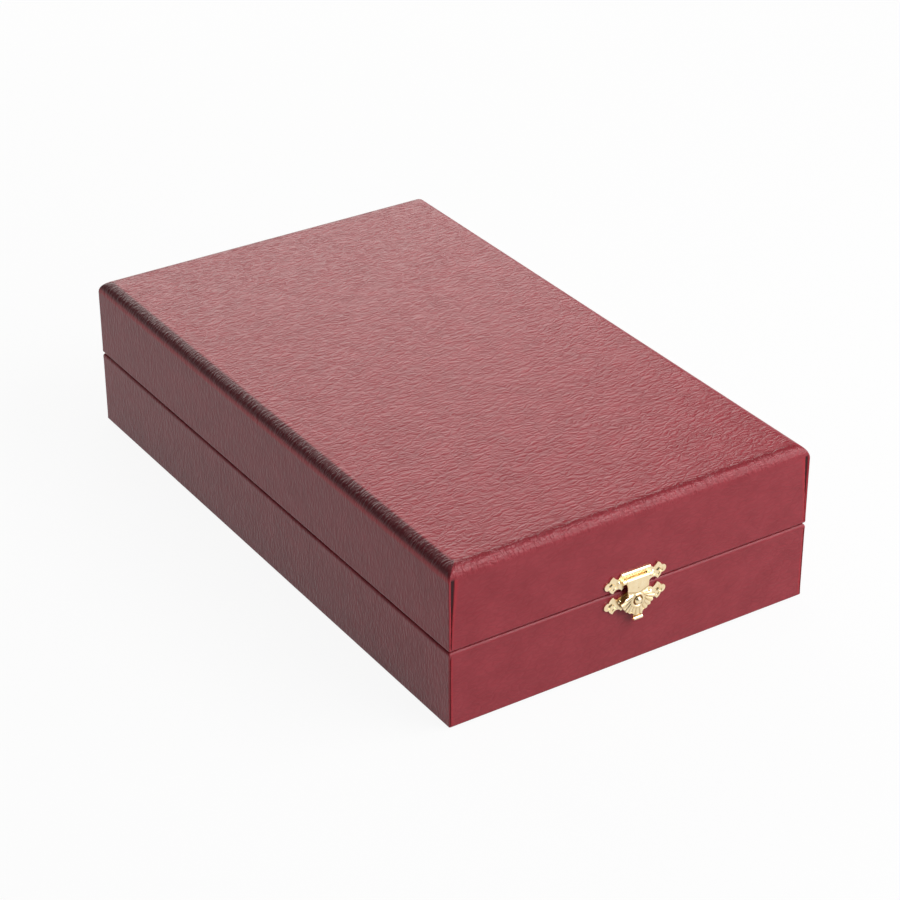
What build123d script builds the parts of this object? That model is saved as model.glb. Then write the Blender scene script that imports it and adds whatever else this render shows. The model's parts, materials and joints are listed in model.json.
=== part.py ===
from build123d import *
import math
import os

os.makedirs("parts", exist_ok=True)

# A leatherette plaque box: a shallow tray and a hinged lid, each a board core in a glued wrap,
# with a velvet bed inside and a pressed scallop-shell hasp on the front.
# The origin is the centre of the underside. Z is up and the clasp faces -Y. Millimetres.

# Outside of the case
case_width = 160.0
case_depth = 270.0
base_height = 32.4
lid_height = 33.7
parting_gap = 0.3
lid_edge_radius = 5.5
rim_radius = 0.9
foot_radius = 0.6

# Wrap: one sheet round each half, turned in over the rim and under the tray
wrap_thickness = 0.8
turn_in = 10.0
underside_flange = 14.0
lap_strip_width = 1.7
lap_strip_depth = 0.35
underside_thickness = 0.6
underside_inset = 3.0

# Board core
wall_thickness = 6.0
bottom_panel_thickness = 3.5
top_board_thickness = 6.0

# Linings
liner_thickness = 1.8
liner_lip = 3.0
lip_clearance = 0.5
lip_headroom = 0.8
lid_liner_thickness = 1.5
liner_edge_radius = 0.7

# Velvet bed
bed_below_rim = 8.0
bed_thickness = 11.0
bed_clearance = 0.3
bed_edge_radius = 2.0
bed_side_margin = 20.3
bed_end_margin = 25.3
recess_corner_radius = 4.0
recess_bevel = 1.2
finger_notch_radius = 12.0
seat_pad_thickness = 1.0
seat_pad_clearance = 0.3
floor_card_thickness = 2.0
floor_card_overlap = 7.0
runner_width = 14.0

# Satin pad under the lid
pad_thickness = 8.0
pad_clearance = 0.6
pad_corner_radius = 8.0
pad_side_height = 2.5
pad_shoulder = 4.0
pad_crown_inset = 16.0

# Clasp plates: heights are from the parting line, depths from the front face
plate_thickness = 0.6
bar_half_width = 6.3
bar_top = 7.5
bar_bottom = 5.45
bar_height = 1.0
window_half_width = 5.2
bridge_half_width = 4.2
bridge_top = -1.3
bridge_foot = -7.2
upper_finial_height = 3.9
lower_finial_height = -4.75
finial_x = 9.9
finial_half_height = 3.55
finial_notch_x = 11.75
finial_notch_height = 1.55
finial_tip_x = 13.75
finial_neck_x = 8.0
finial_neck_height = 1.8
finial_arch_height = 2.25
finial_foot_x = 6.2
finial_foot_height = 3.35
finial_curve = 0.3
pocket_share = 0.66
pocket_depth = 0.2
leaf_length = 2.6
leaf_width = 2.0
leaf_height = 0.35
leaf_taper = 30.0

# Hasp
hasp_sheet = 0.5
hasp_pin_height = 4.2
hasp_pin_standoff = 1.5
hasp_pin_radius = 0.4
hasp_pin_fit = 0.05
hasp_barrel_radius = 0.9
ear_width = 1.4
ear_gap = 0.2
strip_half_width = 4.7
waist_half_width = 4.2
waist_height = -1.9
flute_count = 11
flute_spread = 132.0
flute_apex_height = -0.6
flute_length = 9.5
flute_side_loss = 1.2
flute_height = 0.5
flute_start = 0.9
scallop_depth = 0.25
tab_half_width = 1.95
tab_foot = -12.7
tab_root = 1.3
tab_roll_radius = 0.7

# Stud on the lower plate and the ring round its hole
stud_height = -4.6
stud_radius = 1.6
stud_standoff = 2.3
stud_neck_radius = 1.0
stud_bands = 5
stud_clearance = 0.45
ring_width = 0.6
ring_rise = 0.5

# Nails
nail_head_radius = 0.75
nail_head_height = 0.45
nail_head_sides = 8
nail_crown_radius = 0.4
nail_shank_width = 0.7
nail_length = 5.2
nail_point = 1.2
nail_tip_radius = 0.12
nail_hole_gap = 0.02
upper_nail_x = 7.5
upper_nail_height = 4.0
lower_nail_x = 6.9
lower_nail_height = -4.2

# Back hinges
hinge_x = 45.0
hinge_width = 18.0
hinge_leaf_height = 9.0
hinge_leaf_thickness = 0.7
hinge_leaf_corner = 1.5
hinge_barrel_radius = 1.5
hinge_pin_radius = 0.8
hinge_pin_fit = 0.05
hinge_running_gap = 0.15
hinge_seat_gap = 0.05
centre_knuckle_width = 8.0
hinge_nail_spacing = 10.6
hinge_nail_height = 5.6
stop_reach = 3.4
stop_thickness = 0.8

# Places that follow from the sizes
half_width = case_width / 2
half_depth = case_depth / 2
front_y = -half_depth
back_y = half_depth
lid_bottom = base_height + parting_gap
case_height = lid_bottom + lid_height
parting_z = base_height + parting_gap / 2
core_x = half_width - wrap_thickness
core_y = half_depth - wrap_thickness
base_inside_x = core_x - wall_thickness - wrap_thickness
base_inside_y = core_y - wall_thickness - wrap_thickness
lid_wall_thickness = wall_thickness - lip_clearance
lid_inside_x = base_inside_x + lip_clearance
lid_inside_y = base_inside_y + lip_clearance
base_core_bottom = underside_thickness + wrap_thickness
base_wall_bottom = base_core_bottom + bottom_panel_thickness
base_wall_top = base_height - wrap_thickness
lid_wall_bottom = lid_bottom + wrap_thickness
lid_core_top = case_height - wrap_thickness
lid_ceiling = lid_core_top - top_board_thickness
liner_top = base_height + liner_lip
lid_liner_bottom = liner_top + lip_headroom
bed_x = base_inside_x - liner_thickness - bed_clearance
bed_y = base_inside_y - liner_thickness - bed_clearance
recess_width = 2 * (bed_x - bed_side_margin)
recess_length = 2 * (bed_y - bed_end_margin)
bed_top = base_height - bed_below_rim
bed_bottom = bed_top - bed_thickness
floor_card_bottom = bed_bottom - floor_card_thickness
floor_card_x = recess_width / 2 + finger_notch_radius + floor_card_overlap
floor_card_y = recess_length / 2 + floor_card_overlap
pad_x = lid_inside_x - lid_liner_thickness - pad_clearance
pad_y = lid_inside_y - lid_liner_thickness - pad_clearance
pad_bottom = lid_ceiling - pad_thickness
hasp_pin_y = front_y - hasp_pin_standoff
hasp_pin_z = parting_z + hasp_pin_height
hasp_outer = hasp_pin_standoff + hasp_barrel_radius
hasp_inner = hasp_outer - hasp_sheet
hasp_barrel_half_width = window_half_width - ear_gap
hinge_axis_y = back_y + hinge_barrel_radius + hinge_seat_gap
hinge_leaf_start = hinge_barrel_radius + hinge_running_gap

# The front face seen from outside: local x is X, local y is the height over the parting line
# and local z points out of the box.
front_face = Plane(origin=(0, front_y, parting_z), x_dir=(1, 0, 0), z_dir=(0, -1, 0))


def keep(piece, node):
    """Labels one finished piece and writes it."""
    piece.part.label = node
    export_step(piece.part, f"parts/{node}.step")


def block(half_x, half_y, low, high, mode=Mode.ADD):
    """A block round the Z axis between two heights."""
    with Locations((0, 0, low)):
        Box(2 * half_x, 2 * half_y, high - low, align=(Align.CENTER, Align.CENTER, Align.MIN), mode=mode)


def ring_wall(half_x, half_y, thickness, low, high, mode=Mode.ADD):
    """A rectangular ring round the Z axis, measured outside, between two heights."""
    with BuildSketch(Plane.XY.offset(low)) as outline:
        Rectangle(2 * half_x, 2 * half_y)
        Rectangle(2 * (half_x - thickness), 2 * (half_y - thickness), mode=Mode.SUBTRACT)
    extrude(outline.sketch, amount=high - low, mode=mode)


def slab(x, y, size_x, size_y, low, high):
    """An upright board centred on (x, y) between two heights."""
    with Locations((x, y, low)):
        Box(size_x, size_y, high - low, align=(Align.CENTER, Align.CENTER, Align.MIN))


def rounded_case(case, low, high, top_radius, bottom_radius):
    """The outside of one half of the case, with its top and bottom edges rounded."""
    block(half_width, half_depth, low, high)
    fillet(case.faces().sort_by(Axis.Z)[-1].edges(), top_radius)
    fillet(case.faces().sort_by(Axis.Z)[0].edges(), bottom_radius)


def lap_strips(low, high):
    """Steps the front and back flaps down beside each corner, where the side flap lies under them."""
    for x in (-half_width, half_width):
        for y in (front_y, back_y):
            with Locations((x, y, (low + high) / 2)):
                Box(2 * lap_strip_width, 2 * lap_strip_depth, high - low, mode=Mode.SUBTRACT)


def nail_holes(places):
    """Cuts the square holes of nails whose places on the front or back face are given."""
    side = nail_shank_width + 2 * nail_hole_gap
    with Locations(*places):
        Box(side, 2 * (nail_length + nail_hole_gap), side, mode=Mode.SUBTRACT)


def ring_points(plane, sides, radius, offset):
    """The corners of a regular outline, with one side level, at an offset from a plane."""
    turns = [math.radians((corner + 0.5) * 360 / sides) for corner in range(sides)]
    return [
        plane.from_local_coords(Vector(radius * math.cos(turn), radius * math.sin(turn), offset))
        for turn in turns
    ]


def nails(places, seat, out):
    """Square-cut nails with faceted heads on a plate. out is -1 on the front and 1 on the back."""
    shank_radius = nail_shank_width / math.sqrt(2)
    for x, y, z in places:
        face = Plane(origin=(x, y, z), x_dir=(1, 0, 0), z_dir=(0, out, 0))
        ConvexPolyhedron(
            ring_points(face, nail_head_sides, nail_head_radius, seat)
            + ring_points(face, nail_head_sides, nail_crown_radius, seat + nail_head_height)
        )
        ConvexPolyhedron(
            ring_points(face, 4, shank_radius, seat)
            + ring_points(face, 4, shank_radius, nail_point - nail_length)
            + ring_points(face, 4, nail_tip_radius, -nail_length)
        )


upper_nail_places = [(x, front_y, parting_z + upper_nail_height) for x in (-upper_nail_x, upper_nail_x)]
lower_nail_places = [(x, front_y, parting_z + lower_nail_height) for x in (-lower_nail_x, lower_nail_x)]
hinge_nail_columns = [
    hinge + side * hinge_nail_spacing / 2 for hinge in (-hinge_x, hinge_x) for side in (-1, 1)
]
lid_hinge_nail_places = [(x, back_y, parting_z + hinge_nail_height) for x in hinge_nail_columns]
base_hinge_nail_places = [(x, back_y, parting_z - hinge_nail_height) for x in hinge_nail_columns]

# Board core of the tray

with BuildPart() as base_bottom_panel:
    block(core_x, core_y, base_core_bottom, base_wall_bottom)
keep(base_bottom_panel, "base_bottom_panel")

for node, side, places in (
    ("base_front_wall", -1, lower_nail_places),
    ("base_back_wall", 1, base_hinge_nail_places),
):
    with BuildPart() as cross_wall:
        slab(
            0,
            side * (core_y - wall_thickness / 2),
            2 * core_x,
            wall_thickness,
            base_wall_bottom,
            base_wall_top,
        )
        nail_holes(places)
    keep(cross_wall, node)

for node, side in (("base_left_wall", -1), ("base_right_wall", 1)):
    with BuildPart() as side_wall:
        slab(
            side * (core_x - wall_thickness / 2),
            0,
            wall_thickness,
            2 * (core_y - wall_thickness),
            base_wall_bottom,
            base_wall_top,
        )
    keep(side_wall, node)

# Board core of the lid

with BuildPart() as lid_top_board:
    block(core_x, core_y, lid_ceiling, lid_core_top)
    fillet(lid_top_board.faces().sort_by(Axis.Z)[-1].edges(), lid_edge_radius - wrap_thickness)
keep(lid_top_board, "lid_top_board")

for node, side, places in (
    ("lid_front_wall", -1, upper_nail_places),
    ("lid_back_wall", 1, lid_hinge_nail_places),
):
    with BuildPart() as cross_wall:
        slab(
            0,
            side * (core_y - lid_wall_thickness / 2),
            2 * core_x,
            lid_wall_thickness,
            lid_wall_bottom,
            lid_ceiling,
        )
        nail_holes(places)
    keep(cross_wall, node)

for node, side in (("lid_left_wall", -1), ("lid_right_wall", 1)):
    with BuildPart() as side_wall:
        slab(
            side * (core_x - lid_wall_thickness / 2),
            0,
            lid_wall_thickness,
            2 * (core_y - lid_wall_thickness),
            lid_wall_bottom,
            lid_ceiling,
        )
    keep(side_wall, node)

# Wraps: what is left of each rounded half when the boards are taken out of it

with BuildPart() as base_wrap:
    rounded_case(base_wrap, underside_thickness, base_height, rim_radius, foot_radius)
    block(core_x, core_y, base_core_bottom, base_height - turn_in, Mode.SUBTRACT)
    ring_wall(core_x, core_y, wall_thickness, base_height - turn_in, base_wall_top, Mode.SUBTRACT)
    block(base_inside_x, base_inside_y, base_core_bottom, base_height, Mode.SUBTRACT)
    block(
        half_width - underside_flange,
        half_depth - underside_flange,
        underside_thickness,
        base_core_bottom,
        Mode.SUBTRACT,
    )
    lap_strips(underside_thickness + foot_radius, base_height - rim_radius)
    nail_holes(lower_nail_places + base_hinge_nail_places)
keep(base_wrap, "base_wrap")

with BuildPart() as lid_wrap:
    rounded_case(lid_wrap, lid_bottom, case_height, lid_edge_radius, rim_radius)
    add(lid_top_board.part, mode=Mode.SUBTRACT)
    block(core_x, core_y, lid_bottom + turn_in, lid_ceiling, Mode.SUBTRACT)
    ring_wall(core_x, core_y, lid_wall_thickness, lid_wall_bottom, lid_bottom + turn_in, Mode.SUBTRACT)
    block(lid_inside_x, lid_inside_y, lid_bottom, lid_ceiling, Mode.SUBTRACT)
    lap_strips(lid_bottom + rim_radius, case_height - lid_edge_radius)
    nail_holes(upper_nail_places + lid_hinge_nail_places)
keep(lid_wrap, "lid_wrap")

with BuildPart() as base_underside_sheet:
    block(half_width - underside_inset, half_depth - underside_inset, 0, underside_thickness)
    fillet(base_underside_sheet.edges().filter_by(Axis.Z), underside_inset)
keep(base_underside_sheet, "base_underside_sheet")

# Velvet liners of the tray, which stand above its rim and guide the lid

for node, side in (("base_front_liner", -1), ("base_back_liner", 1)):
    with BuildPart() as liner:
        slab(
            0,
            side * (base_inside_y - liner_thickness / 2),
            2 * (base_inside_x - liner_thickness),
            liner_thickness,
            base_wall_bottom,
            liner_top,
        )
        fillet(liner.faces().sort_by(Axis.Z)[-1].edges().filter_by(Axis.X), liner_edge_radius)
    keep(liner, node)

for node, side in (("base_left_liner", -1), ("base_right_liner", 1)):
    with BuildPart() as liner:
        slab(
            side * (base_inside_x - liner_thickness / 2),
            0,
            liner_thickness,
            2 * base_inside_y,
            base_wall_bottom,
            liner_top,
        )
        fillet(liner.faces().sort_by(Axis.Z)[-1].edges().filter_by(Axis.Y), liner_edge_radius)
    keep(liner, node)

# Satin liners of the lid, which stop above the tray's lip

for node, side in (("lid_front_liner", -1), ("lid_back_liner", 1)):
    with BuildPart() as liner:
        slab(
            0,
            side * (lid_inside_y - lid_liner_thickness / 2),
            2 * (lid_inside_x - lid_liner_thickness),
            lid_liner_thickness,
            lid_liner_bottom,
            lid_ceiling,
        )
    keep(liner, node)

for node, side in (("lid_left_liner", -1), ("lid_right_liner", 1)):
    with BuildPart() as liner:
        slab(
            side * (lid_inside_x - lid_liner_thickness / 2),
            0,
            lid_liner_thickness,
            2 * lid_inside_y,
            lid_liner_bottom,
            lid_ceiling,
        )
    keep(liner, node)

# Velvet bed: a thick board with the plaque's recess and two finger notches cut through it,
# a card floor under the recess with a velvet pad on it, and two runners that hold the card up


def recess_outline(clearance=0.0):
    """The recess with its two finger notches, drawn smaller all round by a clearance."""
    RectangleRounded(
        recess_width - 2 * clearance,
        recess_length - 2 * clearance,
        recess_corner_radius - clearance,
    )
    with Locations((-recess_width / 2, 0), (recess_width / 2, 0)):
        Circle(finger_notch_radius - clearance)


with BuildPart() as plaque_bed:
    block(bed_x, bed_y, bed_bottom, bed_top)
    with BuildSketch(Plane.XY.offset(bed_bottom)):
        recess_outline()
    extrude(amount=bed_thickness, mode=Mode.SUBTRACT)
    chamfer(plaque_bed.faces().sort_by(Axis.Z)[-1].inner_wires().edges(), recess_bevel)
    fillet(plaque_bed.faces().sort_by(Axis.Z)[-1].outer_wire().edges(), bed_edge_radius)
keep(plaque_bed, "plaque_bed")

with BuildPart() as recess_floor:
    block(floor_card_x, floor_card_y, floor_card_bottom, bed_bottom)
keep(recess_floor, "recess_floor")

with BuildPart() as recess_pad:
    with BuildSketch(Plane.XY.offset(bed_bottom)):
        recess_outline(seat_pad_clearance)
    extrude(amount=seat_pad_thickness)
keep(recess_pad, "recess_pad")

with BuildPart() as bed_runners:
    for side in (-1, 1):
        slab(
            side * (floor_card_x - runner_width / 2),
            0,
            runner_width,
            2 * floor_card_y,
            base_wall_bottom,
            floor_card_bottom,
        )
keep(bed_runners, "bed_runners")

# Satin pad: glued flat to the top board, with drawn-in sides and a crown below

with BuildPart() as lid_pad:
    for height, inset in (
        (lid_ceiling, 0),
        (lid_ceiling - pad_side_height, 0),
        (pad_bottom + (pad_thickness - pad_side_height) / 3, pad_shoulder),
        (pad_bottom, pad_crown_inset),
    ):
        with BuildSketch(Plane.XY.offset(height)):
            RectangleRounded(2 * (pad_x - inset), 2 * (pad_y - inset), pad_corner_radius)
    loft(ruled=True)
keep(lid_pad, "lid_pad")

# Clasp plates: pressed sheet with a finial at each end


def arc_between(start, end, bulge):
    """An arc whose middle stands off its chord, to the left of the way it runs."""
    across = end[0] - start[0]
    along = end[1] - start[1]
    length = math.hypot(across, along)
    middle = (
        (start[0] + end[0]) / 2 - along / length * bulge,
        (start[1] + end[1]) / 2 + across / length * bulge,
    )
    ThreePointArc(start, middle, end)


def finial_edge(height, share=1.0):
    """The right-hand finial's edge, clockwise from its neck to its inner foot, which it returns.

    A share under 1 draws the edge smaller, round the finial's own centre.
    """

    def at(x, rise):
        return finial_x + share * (x - finial_x), height + share * rise

    neck = at(finial_neck_x, finial_neck_height)
    top = at(finial_x, finial_half_height)
    top_notch = at(finial_notch_x, finial_notch_height)
    foot_notch = at(finial_notch_x, -finial_notch_height)
    foot = at(finial_x, -finial_half_height)
    inner_foot = at(finial_foot_x, -finial_foot_height)
    arc_between(neck, top, -finial_curve / 2)
    arc_between(top, top_notch, finial_curve)
    ThreePointArc(top_notch, at(finial_tip_x, 0), foot_notch)
    arc_between(foot_notch, foot, finial_curve)
    ThreePointArc(foot, at((finial_x + finial_foot_x) / 2, -finial_arch_height), inner_foot)
    return neck, inner_foot


def plate_relief(height):
    """Sinks a pocket inside each finial's rim and raises a leaf in the middle of it."""
    with BuildSketch(front_face.offset(plate_thickness)) as pockets:
        with BuildLine():
            neck, inner_foot = finial_edge(height, pocket_share)
            Line(inner_foot, neck)
        make_face()
        mirror(about=Plane.YZ)
    extrude(pockets.sketch, amount=-pocket_depth, mode=Mode.SUBTRACT)
    with BuildSketch(front_face.offset(plate_thickness - pocket_depth)) as leaves:
        with Locations((-finial_x - leaf_length / 4, height), (finial_x + leaf_length / 4, height)):
            Polygon(
                (leaf_length / 2, 0),
                (0, leaf_width / 2),
                (-leaf_length / 2, 0),
                (0, -leaf_width / 2),
            )
    extrude(leaves.sketch, amount=pocket_depth + leaf_height, taper=leaf_taper)


with BuildPart() as clasp_upper_plate:
    with BuildSketch(front_face):
        with BuildLine():
            neck, inner_foot = finial_edge(upper_finial_height)
            Line((0, bar_top), (bar_half_width, bar_top))
            arc_between((bar_half_width, bar_top), neck, -finial_curve / 2)
            Polyline(
                inner_foot,
                (window_half_width, inner_foot[1] + finial_foot_x - window_half_width),
                (window_half_width, bar_bottom),
                (0, bar_bottom),
            )
            mirror(about=Plane.YZ)
        make_face()
    extrude(amount=plate_thickness)
    # The bar over the hasp is a half-round moulding.
    with BuildSketch(Plane.YZ.offset(-bar_half_width)):
        with Locations((front_y, parting_z + (bar_top + bar_bottom) / 2)):
            Ellipse(bar_height, (bar_top - bar_bottom) / 2)
            Rectangle(2 * bar_height, 2 * bar_top, align=(Align.MIN, Align.CENTER), mode=Mode.SUBTRACT)
    extrude(amount=2 * bar_half_width)
    plate_relief(upper_finial_height)
    # Ears rolled from the plate on each side of the hasp hold its pin.
    for x in (-window_half_width - ear_width, window_half_width):
        with BuildSketch(Plane.YZ.offset(x)):
            with Locations((hasp_pin_y, hasp_pin_z)):
                Circle(hasp_barrel_radius)
            with Locations((front_y, hasp_pin_z)):
                Rectangle(
                    hasp_pin_standoff,
                    2 * hasp_barrel_radius - hasp_sheet,
                    align=(Align.MAX, Align.CENTER),
                )
        extrude(amount=ear_width)
    with Locations((0, hasp_pin_y, hasp_pin_z)):
        Cylinder(
            hasp_pin_radius,
            4 * (window_half_width + ear_width),
            rotation=(0, 90, 0),
            mode=Mode.SUBTRACT,
        )
    nail_holes(upper_nail_places)
keep(clasp_upper_plate, "clasp_upper_plate")

with BuildPart() as clasp_lower_plate:
    with BuildSketch(front_face):
        with BuildLine():
            neck, inner_foot = finial_edge(lower_finial_height)
            Line((0, bridge_top), (bridge_half_width, bridge_top))
            arc_between((bridge_half_width, bridge_top), neck, finial_curve)
            Polyline(inner_foot, (bridge_half_width, bridge_foot), (0, bridge_foot))
            mirror(about=Plane.YZ)
        make_face()
    extrude(amount=plate_thickness)
    plate_relief(lower_finial_height)
    nail_holes(lower_nail_places)
keep(clasp_lower_plate, "clasp_lower_plate")

stud_section = Plane(origin=(0, front_y, parting_z + stud_height), x_dir=(0, -1, 0), z_dir=(1, 0, 0))
stud_neck_angle = 180 - math.degrees(math.asin(stud_neck_radius / stud_radius))


def stud_point(share):
    """A point on the ball's outline. The share goes from 0 at the tip to 1 at the neck."""
    angle = math.radians(share * stud_neck_angle)
    return stud_standoff + stud_radius * math.cos(angle), stud_radius * math.sin(angle)


with BuildPart() as clasp_stud:
    with BuildSketch(stud_section):
        with BuildLine():
            Polyline(
                *[stud_point(band / stud_bands) for band in range(stud_bands + 1)],
                (plate_thickness, stud_neck_radius),
                (plate_thickness, 0),
                close=True,
            )
        make_face()
    revolve(axis=Axis(stud_section.origin, stud_section.x_dir))
keep(clasp_stud, "clasp_stud")

# Hasp: one pressed sheet, rolled round its pin at the top and fluted like a scallop shell below

flute_step = flute_spread / flute_count
flute_beyond = flute_length + flute_height
arch_shares = (-1, -0.5, 0, 0.5, 1)


def rim_point(angle, beyond=0.0):
    """A point on the shell's rim, or beyond it, at an angle from straight down."""
    reach = flute_length - flute_side_loss * (2 * angle / flute_spread) ** 4 + beyond
    return reach * math.sin(math.radians(angle)), flute_apex_height - reach * math.cos(math.radians(angle))


def valley_angle(index):
    """The angle of one of the valleys beside the flutes from straight down."""
    return index * flute_step - flute_spread / 2


def flute_plane(index, reach):
    """A plane square to one flute's crest. Local x runs across the flute and local y out of the box."""
    angle = math.radians(valley_angle(index + 0.5))
    face = front_face.offset(hasp_outer)
    across = face.x_dir * math.cos(angle) + face.y_dir * math.sin(angle)
    along = face.x_dir * math.sin(angle) - face.y_dir * math.cos(angle)
    apex = face.from_local_coords(Vector(0, flute_apex_height, 0))
    return Plane(origin=apex + along * reach, x_dir=across, z_dir=along)


def hub_corner(index):
    """The point on one valley where the flutes start."""
    reach = flute_start / math.cos(math.radians(flute_step / 2))
    angle = math.radians(valley_angle(index))
    return reach * math.sin(angle), flute_apex_height - reach * math.cos(angle)


def arch(index, reach, depth):
    """Points over one flute from valley to valley, which widen and rise with their reach."""
    plane = flute_plane(index, reach)
    half_chord = reach * math.tan(math.radians(flute_step / 2))
    rise = flute_height * reach / flute_length
    return [
        plane.from_local_coords(Vector(share * half_chord, rise * (1 - share**2) - depth, 0))
        for share in arch_shares
    ]


with BuildPart() as hasp:
    for index in range(flute_count):
        sheet_top = arch(index, flute_start, 0) + arch(index, flute_beyond, 0)
        hollow = arch(index, flute_start, hasp_sheet) + arch(index, flute_beyond, hasp_sheet)
        ConvexPolyhedron(sheet_top + hollow)
        ConvexPolyhedron(hollow, mode=Mode.SUBTRACT)
    # The rim is cut in scallops, one for each flute.
    with BuildSketch(front_face):
        rim = [
            rim_point(valley_angle(index + 0.5 + share / 2), scallop_depth * (1 - share**2))
            for index in range(flute_count)
            for share in arch_shares[:-1]
        ]
        with BuildLine():
            Polyline((0, flute_apex_height), *rim, rim_point(flute_spread / 2), close=True)
        make_face()
    extrude(amount=2 * hasp_outer, mode=Mode.INTERSECT)
    # The flat sheet above the flutes
    with BuildSketch(front_face.offset(hasp_inner)):
        with BuildLine():
            Polyline(
                rim_point(-flute_spread / 2),
                (-waist_half_width, waist_height),
                (-strip_half_width, 0),
                (strip_half_width, 0),
                (waist_half_width, waist_height),
                rim_point(flute_spread / 2),
                *[hub_corner(flute_count - index) for index in range(flute_count + 1)],
                close=True,
            )
        make_face()
    extrude(amount=hasp_sheet)
    # The ring round the stud's hole
    with BuildSketch(front_face.offset(hasp_inner)):
        with Locations((0, stud_height)):
            Circle(stud_radius + stud_clearance + ring_width)
    extrude(amount=hasp_sheet + ring_rise)
    with BuildSketch(front_face):
        with Locations((0, stud_height)):
            Circle(stud_radius + stud_clearance)
    extrude(amount=2 * hasp_outer, mode=Mode.SUBTRACT)
    # The strip up to the pin, and the barrel rolled round it
    with BuildSketch(front_face.offset(hasp_inner)):
        Rectangle(2 * strip_half_width, hasp_pin_height, align=(Align.CENTER, Align.MIN))
    extrude(amount=hasp_sheet)
    with Locations((0, hasp_pin_y, hasp_pin_z)):
        Cylinder(hasp_barrel_radius, 2 * hasp_barrel_half_width, rotation=(0, 90, 0))
        Cylinder(
            hasp_pin_radius + hasp_pin_fit,
            4 * hasp_barrel_half_width,
            rotation=(0, 90, 0),
            mode=Mode.SUBTRACT,
        )
    # The finger tab, with its edge rolled outwards
    with BuildSketch(Plane.YZ.offset(-tab_half_width)):
        with Locations((front_y - hasp_outer, parting_z + tab_foot + tab_roll_radius)):
            Circle(tab_roll_radius)
            Rectangle(
                hasp_sheet,
                flute_apex_height - flute_length + tab_root - tab_foot - tab_roll_radius,
                align=(Align.MIN, Align.MIN),
            )
    extrude(amount=2 * tab_half_width)
keep(hasp, "hasp")

with BuildPart() as hasp_pin:
    with Locations((0, hasp_pin_y, hasp_pin_z)):
        Cylinder(hasp_pin_radius, 2 * (window_half_width + ear_width), rotation=(0, 90, 0))
keep(hasp_pin, "hasp_pin")

# Nails: one node for each group that moves together

with BuildPart() as clasp_upper_nails:
    nails(upper_nail_places, plate_thickness, -1)
keep(clasp_upper_nails, "clasp_upper_nails")

with BuildPart() as clasp_lower_nails:
    nails(lower_nail_places, plate_thickness, -1)
keep(clasp_lower_nails, "clasp_lower_nails")

with BuildPart() as lid_hinge_nails:
    nails(lid_hinge_nail_places, hinge_leaf_thickness, 1)
keep(lid_hinge_nails, "lid_hinge_nails")

with BuildPart() as base_hinge_nails:
    nails(base_hinge_nail_places, hinge_leaf_thickness, 1)
keep(base_hinge_nails, "base_hinge_nails")

# Back hinges: the lid's leaf has the centre knuckle, with a tail behind it that meets the tray's
# leaf when the lid stands a little past upright


def leaf_plate(leaf, x, up):
    """The flat of one leaf on the back face. up is 1 on the lid and -1 on the tray."""
    low = up * hinge_leaf_start
    high = up * hinge_leaf_height
    with Locations((x, back_y, parting_z + (low + high) / 2)):
        Box(
            hinge_width,
            hinge_leaf_thickness,
            hinge_leaf_height - hinge_leaf_start,
            align=(Align.CENTER, Align.MIN, Align.CENTER),
        )
    corners = leaf.edges().filter_by(Axis.Y).group_by(Axis.Z)[-1 if up > 0 else 0]
    fillet(corners, hinge_leaf_corner)


def knuckle(x, width, up, bore_radius):
    """A barrel joined to its leaf by the curl of the sheet. x is its left-hand end."""
    with BuildSketch(Plane.YZ.offset(x)) as section:
        with Locations((hinge_axis_y, parting_z)):
            Circle(hinge_barrel_radius)
        with Locations((back_y + hinge_seat_gap, parting_z)):
            Rectangle(
                hinge_leaf_thickness - hinge_seat_gap,
                hinge_leaf_start,
                align=(Align.MIN, Align.MIN if up > 0 else Align.MAX),
            )
    extrude(section.sketch, amount=width)
    with Locations((x + width / 2, hinge_axis_y, parting_z)):
        Cylinder(bore_radius, 2 * width, rotation=(0, 90, 0), mode=Mode.SUBTRACT)


side_knuckle_width = (hinge_width - centre_knuckle_width) / 2 - hinge_running_gap

for name, x in (("left", -hinge_x), ("right", hinge_x)):
    with BuildPart() as lid_leaf:
        leaf_plate(lid_leaf, x, 1)
        with Locations((x, hinge_axis_y, parting_z)):
            Box(
                centre_knuckle_width,
                stop_reach,
                stop_thickness,
                align=(Align.CENTER, Align.MIN, Align.CENTER),
            )
        knuckle(x - centre_knuckle_width / 2, centre_knuckle_width, 1, hinge_pin_radius + hinge_pin_fit)
        nail_holes(lid_hinge_nail_places)
    keep(lid_leaf, f"lid_hinge_leaf_{name}")

    with BuildPart() as base_leaf:
        leaf_plate(base_leaf, x, -1)
        for start in (x - hinge_width / 2, x + hinge_width / 2 - side_knuckle_width):
            knuckle(start, side_knuckle_width, -1, hinge_pin_radius)
        nail_holes(base_hinge_nail_places)
    keep(base_leaf, f"base_hinge_leaf_{name}")

    with BuildPart() as hinge_pin:
        with Locations((x, hinge_axis_y, parting_z)):
            Cylinder(hinge_pin_radius, hinge_width, rotation=(0, 90, 0))
    keep(hinge_pin, f"hinge_pin_{name}")
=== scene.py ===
import json
import math

import bmesh
import bpy
from mathutils import Matrix, Vector, noise


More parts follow.
